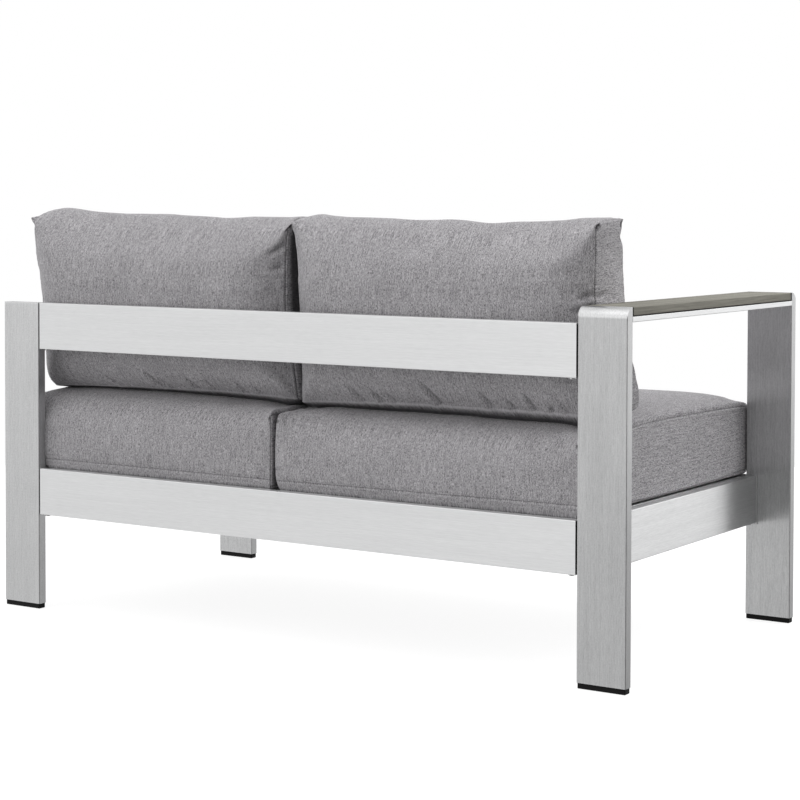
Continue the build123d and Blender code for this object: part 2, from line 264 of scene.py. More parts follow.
# ---------------------------------------------------------------- fabric
def fabric(name, tone=1.0):
    """Grey melange cloth: slubby yarns along V of the map called weave, which is in metres on the cloth itself.
    The attributes d1 and d2 are the distances in mm from the seams, and run is the place along them."""
    m, t, p = new_material(name)
    uv = t.node("ShaderNodeUVMap", uv_map="weave").outputs[0]
    yarn = t.noise(t.vmath("MULTIPLY", uv, (1250.0, 250.0, 1.0)), detail=1.5, rough=0.55)
    slub = t.noise(t.vmath("MULTIPLY", t.vmath("ADD", uv, (3.1, 1.7, 0.0)), (640.0, 120.0, 1.0)), detail=1.0, rough=0.5)
    band = t.noise(t.vmath("MULTIPLY", t.vmath("ADD", uv, (9.1, 4.7, 0.0)), (420.0, 26.0, 1.0)), detail=1.0, rough=0.5)
    weft = t.noise(t.vmath("MULTIPLY", t.vmath("ADD", uv, (5.3, 2.9, 0.0)), (160.0, 900.0, 1.0)), detail=1.0, rough=0.5)
    speck = t.noise(t.vmath("MULTIPLY", uv, (1000.0, 560.0, 1.0)), detail=1.0, rough=0.5)
    worn = t.noise(t.vmath("MULTIPLY", uv, (11.0, 7.0, 1.0)), detail=3.0, rough=0.55)
    f = t.math("ADD", t.math("MULTIPLY", yarn, 0.38), t.math("MULTIPLY", slub, 0.19))
    f = t.math("ADD", f, t.math("MULTIPLY", band, 0.14))
    f = t.math("ADD", f, t.math("MULTIPLY", weft, 0.06))
    f = t.math("ADD", f, t.math("MULTIPLY", speck, 0.23))
    f = t.mapped(f, 0.400, 0.610, 0.0, 1.0)
    dark = (0.121 * tone, 0.116 * tone, 0.123 * tone, 1.0)
    light = (0.672 * tone, 0.655 * tone, 0.678 * tone, 1.0)
    col = t.mix(f, dark, light)
    shade = t.mapped(worn, 0.3, 0.7, 0.93, 1.06)
    grain = t.node("ShaderNodeCombineXYZ")
    for s in grain.inputs:
        t.put(s, shade)
    col = t.mix(1.0, col, grain.outputs[0], blend="MULTIPLY")
    # the sewn line: a dark thread-width dip with a tighter pull at every stitch; its darkness is partly the thread and
    # partly painted shade in the seam groove
    near = t.node("ShaderNodeAttribute", attribute_name="d1").outputs["Fac"]
    hem = t.node("ShaderNodeAttribute", attribute_name="d2").outputs["Fac"]
    run = t.node("ShaderNodeAttribute", attribute_name="run").outputs["Fac"]
    step = t.math("SINE", t.math("MULTIPLY", run, 2 * math.pi / 3.8))
    wide = t.math("ADD", 0.80, t.math("MULTIPLY", step, 0.40))
    line = t.mapped(t.math("SUBTRACT", near, wide), -0.5, 0.5, 1.0, 0.0, smooth=True)
    line2 = t.mapped(t.math("SUBTRACT", hem, t.math("MULTIPLY", wide, 0.75)), -0.4, 0.4, 0.75, 0.0, smooth=True)
    sew = t.node("ShaderNodeAttribute", attribute_name="sew").outputs["Fac"]
    welt_highlight = t.node("ShaderNodeAttribute", attribute_name="welt_highlight").outputs["Fac"]
    line2 = t.math("MULTIPLY", line2, t.math("SUBTRACT", 1.0, welt_highlight))
    # painted highlight: a lighter line just above the back cushions' bottom seam, where the welt catches the light
    col = t.mix(t.math("MULTIPLY", t.math("MULTIPLY", welt_highlight, t.mapped(hem, 0.8, 2.2, 0.60, 0.0)), t.mapped(step, -1.0, 1.0, 0.7, 1.0)), col, light)
    line = t.math("MAXIMUM", t.math("MULTIPLY", line, sew), line2)
    line = t.math("MULTIPLY", line, t.mapped(step, -1.0, 1.0, 0.62, 1.0))
    col = t.mix(t.math("MULTIPLY", line, 0.78), col, (0.030, 0.029, 0.031, 1.0))
    # painted shade: the cloth is darkened in deep folds, ear holes, gaps between cushions and under the bottom seams
    painted_shade = t.node("ShaderNodeAttribute", attribute_name="painted_shade").outputs["Fac"]
    col = t.mix(t.mapped(painted_shade, 0.03, 1.0, 0.0, 0.92), col, (0.022, 0.021, 0.023, 1.0))
    t.put(p.inputs["Base Color"], col)
    t.put(p.inputs["Roughness"], t.mapped(yarn, 0.3, 0.7, 0.84, 0.96))
    p.inputs["Specular IOR Level"].default_value = 0.18
    p.inputs["Sheen Weight"].default_value = 0.10
    p.inputs["Sheen Roughness"].default_value = 0.45
    # plain weave relief: two families of round yarns that go over and under each other
    su = t.node("ShaderNodeSeparateXYZ")
    t.put(su.inputs[0], uv)
    pitch = 2 * math.pi / 0.0011
    a = t.math("SINE", t.math("MULTIPLY", su.outputs[0], pitch))
    b = t.math("SINE", t.math("MULTIPLY", su.outputs[1], pitch))
    knit = t.math("MULTIPLY", a, b)
    h = t.math("ADD", t.math("MULTIPLY", knit, 0.16), t.math("ADD", t.math("MULTIPLY", yarn, 0.8), t.math("MULTIPLY", slub, 0.5)))
    h = t.math("SUBTRACT", h, t.math("MULTIPLY", line, 1.2))
    t.put(p.inputs["Normal"], t.bump(h, 0.5, 0.0006))
    return m


MATERIALS = {}
for i, letter in enumerate("xyz"):
    low, high, along, fleck = ((0.64, 0.73, 46.0, 0.0), (0.60, 0.77, 46.0, 0.1), (0.54, 0.83, 60.0, 0.30))[i]
    MATERIALS["brushed_aluminium", i] = brushed("aluminium_brushed_" + letter, i, low, high, 0.36, 0.85, along=along, fleck=fleck)
    MATERIALS["mill_aluminium", i] = brushed("aluminium_mill_" + letter, i, 0.50, 0.68, 0.38, 0.45, line=500.0)
ARM_LEG = brushed("aluminium_brushed_arm", 2, 0.515, 0.80, 0.36, 0.85, along=60.0, fleck=0.22)
MATERIALS["grey_plank"] = plank("plank_grey", *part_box("armrest_board"))
MATERIALS["black_plastic"] = plastic("plastic_black")
MATERIALS["stainless_screws"] = screws("steel_screws")
CLOTH = fabric("cloth_grey")

slots_of = {}
for name, ob in frame["nodes"].items():
    spec = [s.material.name if s.material else "" for s in ob.material_slots]
    lo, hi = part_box(name)
    axis = int(np.argmax([hi[i] - lo[i] for i in range(3)]))
    for s in ob.material_slots:
        kind = s.material.name.split(".")[0] if s.material else ""
        slots_of[name] = kind
        m = MATERIALS.get(kind) or MATERIALS.get((kind, axis))
        if kind == "brushed_aluminium" and name in ("arm_rear_leg", "arm_front_leg"):
            m = ARM_LEG
        if m:
            s.material = m
print("slots", sorted(set(slots_of.values())))


# ---------------------------------------------------------------- cushions
def borders(length, fine, coarse, grow=1.25, keep=()):
    """Cell borders from 0 to length: fine cells at both ends, coarse ones in the middle."""
    half, step = [0.0], fine
    while half[-1] + step < length / 2:
        half.append(half[-1] + step)
        step = min(coarse, step * grow)
    half = np.array(half)
    half *= (length / 2) / (half[-1] + 0.5 * step) if length / 2 - half[-1] > 0.25 * step else (length / 2) / half[-1]
    if half[-1] < length / 2 - 1e-9:
        full = np.concatenate([half, length - half[::-1]])
    else:
        full = np.concatenate([half, length - half[::-1][1:]])
    for k in keep:
        full[int(np.argmin(abs(full - k)))] = k
    return full


def shell(X, Y, Z):
    """Closed box of quads on those borders. Gives the points' grid numbers, the quads and each quad's panel."""
    nx, ny, nz = len(X) - 1, len(Y) - 1, len(Z) - 1
    idx, at, quads, panel = {}, [], [], []

    def v(i, j, k):
        if (i, j, k) not in idx:
            idx[i, j, k] = len(at)
            at.append((i, j, k))
        return idx[i, j, k]

    for i in range(nx):
        for j in range(ny):
            quads.append((v(i, j, 0), v(i, j + 1, 0), v(i + 1, j + 1, 0), v(i + 1, j, 0))); panel.append(0)
            quads.append((v(i, j, nz), v(i + 1, j, nz), v(i + 1, j + 1, nz), v(i, j + 1, nz))); panel.append(1)
    for i in range(nx):
        for k in range(nz):
            quads.append((v(i, 0, k), v(i + 1, 0, k), v(i + 1, 0, k + 1), v(i, 0, k + 1))); panel.append(2)
            quads.append((v(i, ny, k), v(i, ny, k + 1), v(i + 1, ny, k + 1), v(i + 1, ny, k))); panel.append(3)
    for j in range(ny):
        for k in range(nz):
            quads.append((v(0, j, k), v(0, j, k + 1), v(0, j + 1, k + 1), v(0, j + 1, k))); panel.append(4)
            quads.append((v(nx, j, k), v(nx, j + 1, k), v(nx, j + 1, k + 1), v(nx, j, k + 1))); panel.append(5)
    return np.array(at), np.array(quads), np.array(panel), idx


def smooth01(a):
    a = np.clip(a, 0.0, 1.0)
    return a * a * (3 - 2 * a)


class Field:
    """Seeded smooth noise in three dimensions, from -1 to 1."""

    def __init__(self, seed):
        self.g = np.random.default_rng(seed).uniform(-1, 1, (32, 32, 32))

    def __call__(self, p):
        q = np.floor(p).astype(int)
        f = p - q
        f = f * f * f * (f * (f * 6 - 15) + 10)
        out = 0.0
        for a in (0, 1):
            for b in (0, 1):
                for c in (0, 1):
                    w = (f[:, 0] if a else 1 - f[:, 0]) * (f[:, 1] if b else 1 - f[:, 1]) * (f[:, 2] if c else 1 - f[:, 2])
                    out = out + w * self.g[(q[:, 0] + a) % 32, (q[:, 1] + b) % 32, (q[:, 2] + c) % 32]
        return out


class Cushion:
    """A boxed cushion. One panel wraps round front, top and back, gussets close its two sides, and a bottom panel is sewn in just above the base.
    Sizes are in millimetres until the mesh is made."""

    def __init__(self, name, corners, size, hem, seed):
        self.name, self.size, self.hem, self.seed = name, size, hem, seed
        W, D, H = size
        self.X, self.Y, self.Z = borders(W, 4.0, 10.0), borders(D, 4.0, 10.0), borders(H, 4.0, 9.0, keep=(hem,))
        self.ijk, self.quads, self.panel, self.idx = shell(self.X, self.Y, self.Z)
        self.n = (len(self.X) - 1, len(self.Y) - 1, len(self.Z) - 1)
        i, j, k = self.ijk.T
        self.par = np.stack([self.X[i], self.Y[j], self.Z[k]], 1)
        a, b, c = (self.par / np.array(size)).T
        out = 0
        for key, at in corners.items():
            w = (a if key[0] else 1 - a) * (b if key[1] else 1 - b) * (c if key[2] else 1 - c)
            out = out + w[:, None] * np.array(at, float)[None]
        self.rest = out
        self.co = out.copy()

    def seam_distances(self):
        """Distance on the cloth from the side seams, and from the seam of the bottom panel."""
        W, D, H = self.size
        i, j, k = self.ijk.T
        nx, ny, nz = self.n
        x, y, z = self.par.T
        side = (i == 0) | (i == nx)
        d1 = np.where(side, np.minimum.reduce([y, D - y, z, H - z]), np.minimum(x, W - x))
        wall = (j == 0) | (j == ny)
        d2 = np.where(wall, abs(z - self.hem), 60.0)
        return d1, d2

    def make_mesh(self):
        me = bpy.data.meshes.new(self.name)
        me.from_pydata((self.co * 0.001).tolist(), [], self.quads.tolist())
        ob = bpy.data.objects.new(self.name, me)
        scene.collection.objects.link(ob)
        W, D, H = self.size
        par = self.par
        loops = self.quads.reshape(-1)
        lp = np.repeat(self.panel, 4)
        x, y, z = (par[loops] * 0.001).T
        h, d = H * 0.001, D * 0.001
        u, v = x.copy(), z.copy()
        v = np.where(lp == 2, z, v)
        v = np.where(lp == 1, h + y, v)
        v = np.where(lp == 3, h + d + (h - z), v)
        v = np.where(lp == 0, 3.0 + y, v)
        g = (lp == 4) | (lp == 5)
        u = np.where(g, 0.85 * z + np.where(lp == 4, 5.0, 7.0), u)
        v = np.where(g, 0.7 * y, v)
        layer = me.uv_layers.new(name="weave")
        shift = self.seed * 0.731
        layer.data.foreach_set("uv", np.stack([u + shift, v + shift * 0.37], 1).astype(np.float32).reshape(-1))
        d1, d2 = self.seam_distances()
        run = np.where((self.ijk[:, 0] == 0) | (self.ijk[:, 0] == self.n[0]), par[:, 1] + par[:, 2], par[:, 0])
        # how dark the sewn line is on each seam: partly thread, partly painted shade in the groove
        sew = np.full(len(par), 0.62)
        if "back" in self.name:
            sew = np.where(self.ijk[:, 2] == self.n[2], 0.25, 0.9)
            sew = np.where((self.ijk[:, 2] == self.n[2]) & (self.ijk[:, 1] == self.n[1]), 1.0, sew)
        # back cushions get the painted highlight along the welt instead of the dark hem line
        welt_highlight = np.full(len(par), 1.0 if "back" in self.name else 0.0)
        for key, val in (("d1", d1), ("d2", d2), ("run", run), ("sew", sew), ("welt_highlight", welt_highlight)):
            at = me.attributes.new(key, "FLOAT", "POINT")
            at.data.foreach_set("value", val.astype(np.float32))
        at = me.attributes.new("par", "FLOAT_VECTOR", "POINT")
        at.data.foreach_set("vector", par.astype(np.float32).reshape(-1))
        at = me.attributes.new("panel", "INT", "FACE")
        at.data.foreach_set("value", self.panel.astype(np.int32))
        crease = me.attributes.new("crease_edge", "FLOAT", "EDGE")
        e = np.zeros(len(me.edges) * 2, np.int32)
        me.edges.foreach_get("vertices", e)
        e = e.reshape(-1, 2)
        on = d1 < 1e-6
        i, j, k = self.ijk.T
        nx, ny, nz = self.n
        same_side = (self.ijk[e[:, 0], 0] == self.ijk[e[:, 1], 0])
        both = on[e[:, 0]] & on[e[:, 1]] & same_side
        bottom = (k == 0)
        edge_b = bottom[e[:, 0]] & bottom[e[:, 1]] & (((j == 0) | (j == ny))[e[:, 0]] & ((j == 0) | (j == ny))[e[:, 1]])
        crease.data.foreach_set("value", np.where(both, 1.0, np.where(edge_b, 0.35, 0.0)).astype(np.float32))
        self.ob = ob
        return ob


def coords(me):
    co = np.zeros(len(me.vertices) * 3, np.float32)
    me.vertices.foreach_get("co", co)
    return co.reshape(-1, 3).astype(float)


def normals(me):
    me.update()
    no = np.zeros(len(me.vertices) * 3, np.float32)
    me.vertex_normals.foreach_get("vector", no)
    return no.reshape(-1, 3).astype(float)


def attribute(me, key, width=1):
    at = me.attributes[key]
    out = np.zeros(len(at.data) * width, np.float32)
    at.data.foreach_get("vector" if width == 3 else "value", out)
    return out.reshape(-1, 3).astype(float) if width == 3 else out.astype(float)


def set_coords(me, co):
    me.vertices.foreach_set("co", co.astype(np.float32).reshape(-1))
    me.update()


def add_cloth(c, pressure, pinned=None):
    ob = c.ob
    m = ob.modifiers.new("inflate", "CLOTH")
    s = m.settings
    s.quality = 5
    s.mass = 0.3
    s.tension_stiffness = s.compression_stiffness = 15.0
    s.shear_stiffness = 5.0
    s.bending_stiffness = 0.5
    s.tension_damping = s.compression_damping = s.shear_damping = 5.0
    s.bending_damping = 0.5
    s.air_damping = 1.0
    s.use_pressure = True
    s.uniform_pressure_force = pressure
    s.effector_weights.gravity = 0.0
    m.collision_settings.use_collision = False
    m.collision_settings.use_self_collision = False
    if pinned is not None:
        g = ob.vertex_groups.new(name="pin")
        for w in np.unique(pinned[pinned > 0]):
            g.add(np.nonzero(pinned == w)[0].tolist(), float(w), "REPLACE")
        s.vertex_group_mass = "pin"


CUSHIONS = {}


def back_cushion(name, x0, x1, top, bottom, seed):
    """top and bottom are ((front y, z), (back y, z)) of the gussets' corners."""
    (fy, fz), (by, bz) = top
    (gy, gz), (hy, hz) = bottom
    c = {}
    for a, x in ((0, x0), (1, x1)):
        c[a, 0, 0], c[a, 1, 0] = (x, gy, gz), (x, hy, hz)
        c[a, 0, 1], c[a, 1, 1] = (x, fy, fz), (x, by, bz)
    CUSHIONS[name] = Cushion(name, c, (abs(x1 - x0), 120.0, 348.0), 8.0, seed)
    return CUSHIONS[name]


def seat_cushion(name, x0, x1, y0, y1, z0, z1, seed):
    c = {(a, b, d): (x, y, z) for a, x in ((0, x0), (1, x1)) for b, y in ((0, y0), (1, y1)) for d, z in ((0, z0), (1, z1))}
    CUSHIONS[name] = Cushion(name, c, (x1 - x0, y1 - y0, z1 - z0), 14.0, seed)
    return CUSHIONS[name]


br = back_cushion("back_cushion_right_soft", -608, 21, ((196, 788), (297, 781)), ((125, 447), (272, 440)), 1)
bl = back_cushion("back_cushion_left_soft", 42, 678, ((195, 792), (292, 783)), ((120, 447), (265, 441)), 2)
sr = seat_cushion("seat_cushion_right_soft", -603, 34, -356, 341, 287.5, 417, 3)
sl = seat_cushion("seat_cushion_left_soft", 45.5, 680, -356, 341, 287.5, 417, 4)

FRAMES = 10
for c in CUSHIONS.values():
    c.make_mesh()
for c in (br, bl):
    add_cloth(c, 4.0)
for c in (sr, sl):
    add_cloth(c, 4.0, np.where(c.ijk[:, 2] == 0, 1.0, 0.0))
for f in range(1, FRAMES + 1):
    scene.frame_set(f)
for c in CUSHIONS.values():
    bpy.context.view_layer.objects.active = c.ob
    with bpy.context.temp_override(object=c.ob, active_object=c.ob, selected_objects=[c.ob]):
        bpy.ops.object.modifier_apply(modifier="inflate")
    c.co = coords(c.ob.data) * 1000.0
scene.frame_set(1)


def spline(knots, t):
    """A smooth curve through (t, values...) knots that doesn't overshoot them."""
    k = np.array(sorted(knots), float)
    s, p = k[:, 0], k[:, 1:]
    h = np.diff(s)[:, None]
    d = np.diff(p, axis=0) / h
    m = np.zeros_like(p)
    both = d[:-1] + d[1:]
    m[1:-1] = np.where(d[:-1] * d[1:] > 0, 2 * d[:-1] * d[1:] / np.where(both == 0, 1.0, both), 0.0)
    m[0], m[-1] = d[0], d[-1]
    i = np.clip(np.searchsorted(s, t, side="right") - 1, 0, len(s) - 2)
    u = ((t - s[i]) / h[i, 0])[:, None]
    return p[i] * (1 + 2 * u) * (1 - u) ** 2 + m[i] * h[i] * u * (1 - u) ** 2 + p[i + 1] * u * u * (3 - 2 * u) - m[i + 1] * h[i] * u * u * (1 - u)


def patch(front, back, bottom, top, tj, tk):
    """The surface that four border curves span."""
    a, q = tj[:, None, None], tk[None, :, None]
    return ((1 - a) * front[None] + a * back[None] + (1 - q) * bottom[:, None] + q * top[:, None]
            - (1 - a) * (1 - q) * front[0] - (1 - a) * q * front[-1] - a * (1 - q) * back[0] - a * q * back[-1])


def tailor(c, sides, front, back, top, bottom, side, boxy=1.0, puffy=(1.0, 1.0)):
    """Puts the side seams on the given curves and hangs the simulated swelling between them.
    sides[s] has a list of (t, x, y, z) for each seam: t runs upwards on front and back, and from front to back on top and bottom.
    The other numbers are how far each panel stands proud of its seams in the middle."""
    nx, ny, nz = c.n
    W, D, H = c.size
    tj, tk = c.Y / D, c.Z / H
    was, now = {}, {}
    for s in (0, 1):
        grid = np.array([[c.idx[nx * s, j, k] for k in range(nz + 1)] for j in range(ny + 1)])
        g = c.co[grid]
        was[s] = g.copy()
        sim = patch(g[0], g[-1], g[:, 0], g[:, -1], tj, tk)
        cut = patch(spline(sides[s]["front"], tk), spline(sides[s]["back"], tk), spline(sides[s]["bottom"], tj), spline(sides[s]["top"], tj), tj, tk)
        off = g - sim
        peak = off[ny // 2, nz // 2, 0] * (1 if s else -1)
        if peak > 0.5:
            rise = np.clip(off[..., 0] * (1 if s else -1) / peak, 0.0, 1.1)
            off[..., 0] = (1 if s else -1) * side[s] * rise ** puffy[s]
        else:
            off[..., 0] = 0.0
        now[s] = cut + off
        c.co[grid] = now[s]
    i, j, k = c.ijk.T
    wrap = (i > 0) & (i < nx)
    w = (c.X[i[wrap]] / W)[:, None]
    jj, kk = j[wrap], k[wrap]
    old = (1 - w) * was[0][jj, kk] + w * was[1][jj, kk]
    new = (1 - w) * now[0][jj, kk] + w * now[1][jj, kk]
    d = np.zeros_like(c.co)
    d[wrap] = c.co[wrap] - old
    mid = lambda i, j, k: d[c.idx[i, j, k]]
    peaks = dict(front=-mid(nx // 2, 0, nz // 2)[1], back=mid(nx // 2, ny, nz // 2)[1], top=mid(nx // 2, ny // 2, nz)[2], bottom=-mid(nx // 2, ny // 2, 0)[2])
    f = {key: (want / peaks[key] if peaks[key] > 0.5 else 0.0) for key, want in dict(front=front, back=back, top=top, bottom=bottom).items()}
    b, z = c.par[:, 1] / D, c.par[:, 2] / H
    d[:, 1] *= f["front"] * (1 - smooth01(b)) + f["back"] * smooth01(b)
    d[:, 2] *= f["bottom"] * (1 - smooth01(z)) + f["top"] * smooth01(z)
    if boxy != 1.0:
        d[:, 2] = np.where(d[:, 2] > 0, top * (np.maximum(d[:, 2], 0) / top) ** boxy, d[:, 2])
    c.co[wrap] = new + d[wrap]


def fit_ridge(c, knots):
    """Moves the top up or down so that its highest line runs at the given (x, z)."""
    nx, ny, nz = c.n
    W, H = c.size[0], c.size[2]
    row = np.array([[c.idx[i, j, nz] for j in range(ny + 1)] for i in range(nx + 1)])
    x, high = c.co[row[:, ny // 2], 0], c.co[row, 2].max(1)
    dz = (spline(knots, x)[:, 0] - high) * smooth01((np.minimum(c.X, W - c.X) + 4) / 40.0)
    c.co[:, 2] += dz[c.ijk[:, 0]] * smooth01((c.par[:, 2] / H - 0.5) / 0.5)


def round_bends(c, times, reach, hold):
    """Rounds the wrapping panel where it turns over the top at front and back, less and less towards the side seams."""
    nx, ny, nz = c.n
    path = [(0, k) for k in range(1, nz)] + [(j, nz) for j in range(0, ny + 1)] + [(ny, k) for k in range(nz - 1, 0, -1)]
    ids = np.array([[c.idx[i, j, k] for (j, k) in path] for i in range(nx + 1)])
    y, z = c.par[ids[0], 1], c.par[ids[0], 2]
    D, H = c.size[1], c.size[2]
    far = np.minimum(abs(y) + abs(H - z), abs(D - y) + abs(H - z))
    wv = 1 - smooth01(far / reach)
    wx = smooth01((np.minimum(c.X, c.size[0] - c.X) - 3) / hold)
    w = 0.5 * wx[:, None] * wv[None]
    p = c.co[ids]
    for _ in range(times):
        avg = p.copy()
        avg[:, 1:-1] = (p[:, :-2] + p[:, 2:]) / 2
        p = p + w[..., None] * (avg - p)
    c.co[ids] = p


BR = [
    dict(front=[(0, -606, 130, 450), (0.055, -609, 129, 467), (0.13, -610, 135, 491), (0.31, -608, 160, 554), (0.59, -606, 182, 650), (0.73, -606, 188, 697),
                (0.85, -607, 193, 738), (0.90, -608, 199, 754), (0.925, -608, 205, 763), (0.955, -609, 199, 773), (1, -609, 195, 790.5)],
         back=[(0, -604, 272, 440), (0.24, -602, 278, 521), (0.5, -601, 284, 610), (0.6, -601.5, 286, 645), (0.82, -605.6, 291, 721), (0.96, -608, 294, 768), (1, -610, 297, 781)],
         top=[(0, -609, 195, 790.5), (0.3, -609, 226, 790), (0.7, -608, 266, 787), (1, -610, 297, 781)],
         bottom=[(0, -606, 130, 450), (0.5, -605, 200, 443), (1, -604, 272, 440)]),
    dict(front=[(0, 20, 125, 447), (0.3, 18, 156, 552), (0.6, 18, 180, 650), (0.9, 20, 193, 752), (1, 22, 195, 790)],
         back=[(0, 22.2, 272, 440), (0.24, 20.8, 278, 521), (0.52, 21.1, 284, 614), (0.8, 22.3, 290, 710), (0.93, 24.5, 294, 756), (1, 31.8, 297, 781)],
         top=[(0, 31, 195, 788), (0.5, 32.2, 246, 788), (1, 31.8, 297, 781)],
         bottom=[(0, 20, 125, 447), (1, 22.2, 272, 440)]),
]
BL = [
    dict(front=[(0, 40, 115, 447), (0.3, 48, 147, 550), (0.6, 50, 172, 650), (0.9, 44, 190, 750), (1, 34, 193, 787.5)],
         back=[(0, 39, 262, 442), (0.2, 43.3, 270, 506), (0.36, 51, 274, 560), (0.52, 57.8, 278, 612), (0.72, 55.8, 281, 680), (0.9, 50, 285, 747), (0.965, 41.5, 288, 769), (1, 33.2, 290, 781)],
         top=[(0, 34, 193, 787.5), (0.5, 33.4, 242, 789), (0.85, 33.2, 277, 786.5), (1, 33.2, 290, 781)],
         bottom=[(0, 40, 115, 447), (1, 39, 262, 442)]),
    dict(front=[(0, 652, 127, 443), (0.3, 662, 150, 556), (0.6, 668, 172, 660), (0.9, 674, 190, 766), (1, 676, 194, 804.4)],
         back=[(0, 626, 272, 440), (0.03, 643, 275, 445), (0.07, 656.5, 280, 461), (0.125, 661, 282, 483), (0.21, 661.5, 284, 514), (0.54, 665, 290, 625), (0.68, 669, 294, 674),
               (0.78, 674, 296, 707), (0.87, 676, 298, 739), (0.96, 678, 300, 772), (1, 680.5, 302, 785)],
         top=[(0, 676, 194, 804.4), (0.25, 677, 221, 802.8), (0.6, 679, 258, 796.8), (0.93, 680, 295, 786.5), (1, 680.5, 302, 785.3)],
         bottom=[(0, 652, 127, 443), (1, 626, 272, 440)]),
]


def seat_side(x, back, end_z=415.5):
    """Seams of one side of a seat cushion at about x. back lists the rear edge."""
    (bx, by, bz), (tx, ty, tz) = back[0][1:], back[-1][1:]
    i = -1.5 if x < 0 else 1.5 if x > 600 else 0.0
    lift = 5.0 if x < 0 else 0.0
    return dict(front=[(0, x + i, -364, 289.0 + lift), (0.5, x + i, -365, 350), (1, x + i, -364, end_z)],
                back=back,
                top=[(0, x + i, -364, end_z), (0.06, x + 0.25 * i, -320, 420.0), (0.31, x, -138, 423), (0.56, x, 33, 424), (0.72, x, 148, 420.5), (1, tx, ty, tz)],
                bottom=[(0, x + i, -364, 289.0 + lift), (0.06, x + 0.25 * i, -320, 288.0 + 0.8 * lift), (0.2, x, -215, 287.5), (0.5, x, 0, 286.5), (1, bx, by, bz)])


SR = [seat_side(-603.5, [(0, -602, 340, 293), (0.5, -604, 341, 350), (1, -600, 339, 410)]),
      seat_side(34.5, [(0, 30, 340, 288), (0.2, 35.5, 341, 311), (0.5, 36.5, 341, 348), (0.8, 35, 341, 392), (1, 33, 341, 417)])]
SL = [seat_side(45.5, [(0, 47, 340, 288), (0.5, 45.3, 341, 347), (1, 45.8, 341, 421)]),
      seat_side(680, [(0, 678, 340, 288), (0.5, 681, 341, 350), (1, 676, 339, 411)])]

tailor(br, BR, 40, 50, 9, 7, (9, 6), puffy=(1.0, 1.0))
tailor(bl, BL, 40, 50, 9, 7, (16, 9), puffy=(1.3, 1.0))
tailor(sr, SR, 5, 4, 31, 0, (4, 3), boxy=0.42, puffy=(1.0, 1.0))
tailor(sl, SL, 5, 4, 31, 0, (3, 4), boxy=0.42, puffy=(1.0, 1.0))
for c in (br, bl):
    round_bends(c, 60, 60, 50)
for c in (sr, sl):
    round_bends(c, 30, 45, 35)
    # the outer front corners are a little lower than the rest
    outer = np.minimum(abs(c.co[:, 0] + 585), abs(c.co[:, 0] - 662))
    c.co[:, 2] -= 3.8 * (c.ijk[:, 2] == c.n[2]) * smooth01(np.minimum(c.par[:, 0], c.size[0] - c.par[:, 0]) / 16.0) * np.exp(-(outer / 52.0) ** 2) * smooth01((-c.co[:, 1] - 150) / 120)
    # they give way below the back cushions
    press = spline([(-610, 11.5), (60, 11.5), (200, 10.0), (380, 6.0), (560, 3.5), (690, 2.0)], c.co[:, 0])[:, 0]
    press *= smooth01((c.co[:, 1] - 90) / 170) * smooth01(np.minimum(c.par[:, 0], c.size[0] - c.par[:, 0]) / 45.0)
    c.co[:, 2] -= press * smooth01((c.co[:, 2] - 330) / 90)
fit_ridge(br, [(-609, 792), (-569, 792.5), (-513, 787), (-429, 785), (-371, 782), (-315, 786.6), (-286, 788.3), (-250, 786.6), (-222, 786), (-130, 789), (-80, 789.8), (-38, 792.6), (-20, 794.0), (-6, 796.5), (10, 795), (30, 790)])
fit_ridge(bl, [(35, 787.5), (60, 790), (85, 789), (143, 789.5), (225, 787.4), (257, 789.8), (291, 791.4), (382, 794.8), (476, 795.7), (572, 800.2), (640, 806), (680, 803.5)])
for c in CUSHIONS.values():
    nx, ny, nz = c.n
    at = lambda i, j, k: np.round(c.co[c.idx[i, j, k]], 1).tolist()
    print(c.name, len(c.co), "front", at(nx // 2, 0, nz // 2), "back", at(nx // 2, ny, nz // 2), "top", at(nx // 2, ny // 2, nz), "right", at(0, ny // 2, nz // 2), "left", at(nx, ny // 2, nz // 2))


def subdivide(c):
    me = c.ob.data
    set_coords(me, c.co * 0.001)
    m = c.ob.modifiers.new("fine", "SUBSURF")
    m.levels = m.render_levels = 1
    with bpy.context.temp_override(object=c.ob, active_object=c.ob, selected_objects=[c.ob]):
        bpy.ops.object.modifier_apply(modifier="fine")
    me = c.ob.data
    c.d1, c.d2, c.p = attribute(me, "d1"), attribute(me, "d2"), attribute(me, "par", 3)


